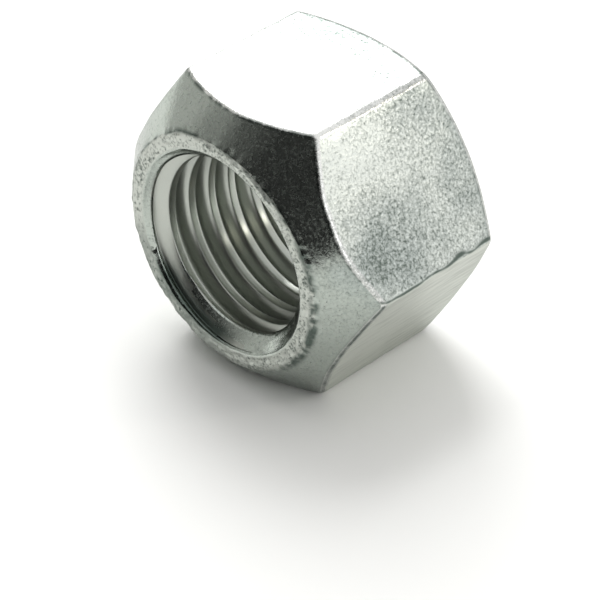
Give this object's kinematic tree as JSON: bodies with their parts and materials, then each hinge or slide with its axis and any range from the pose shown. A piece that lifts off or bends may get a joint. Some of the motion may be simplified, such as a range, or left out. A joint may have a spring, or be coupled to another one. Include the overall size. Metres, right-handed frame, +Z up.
{
  "type": "wheel nut",
  "caption": "Hexagonal steel wheel nut with a threaded through bore, a conical seat on its nose and a chamfered rear end.",
  "frame": {"origin": "on the surface that the nut lies on, below the middle of its length and on the bore's vertical plane", "axes": "the bore runs along Y with the conical nose towards -Y; +Z is up with the nut lying on one flat; X runs across two opposite corners"},
  "size_m": [0.0194, 0.012, 0.017],
  "materials": {
    "zinc_plated_steel": "satin"
  },
  "bodies": {
    "root": {"wheel_nut": "zinc_plated_steel"}
  },
  "joints": []
}
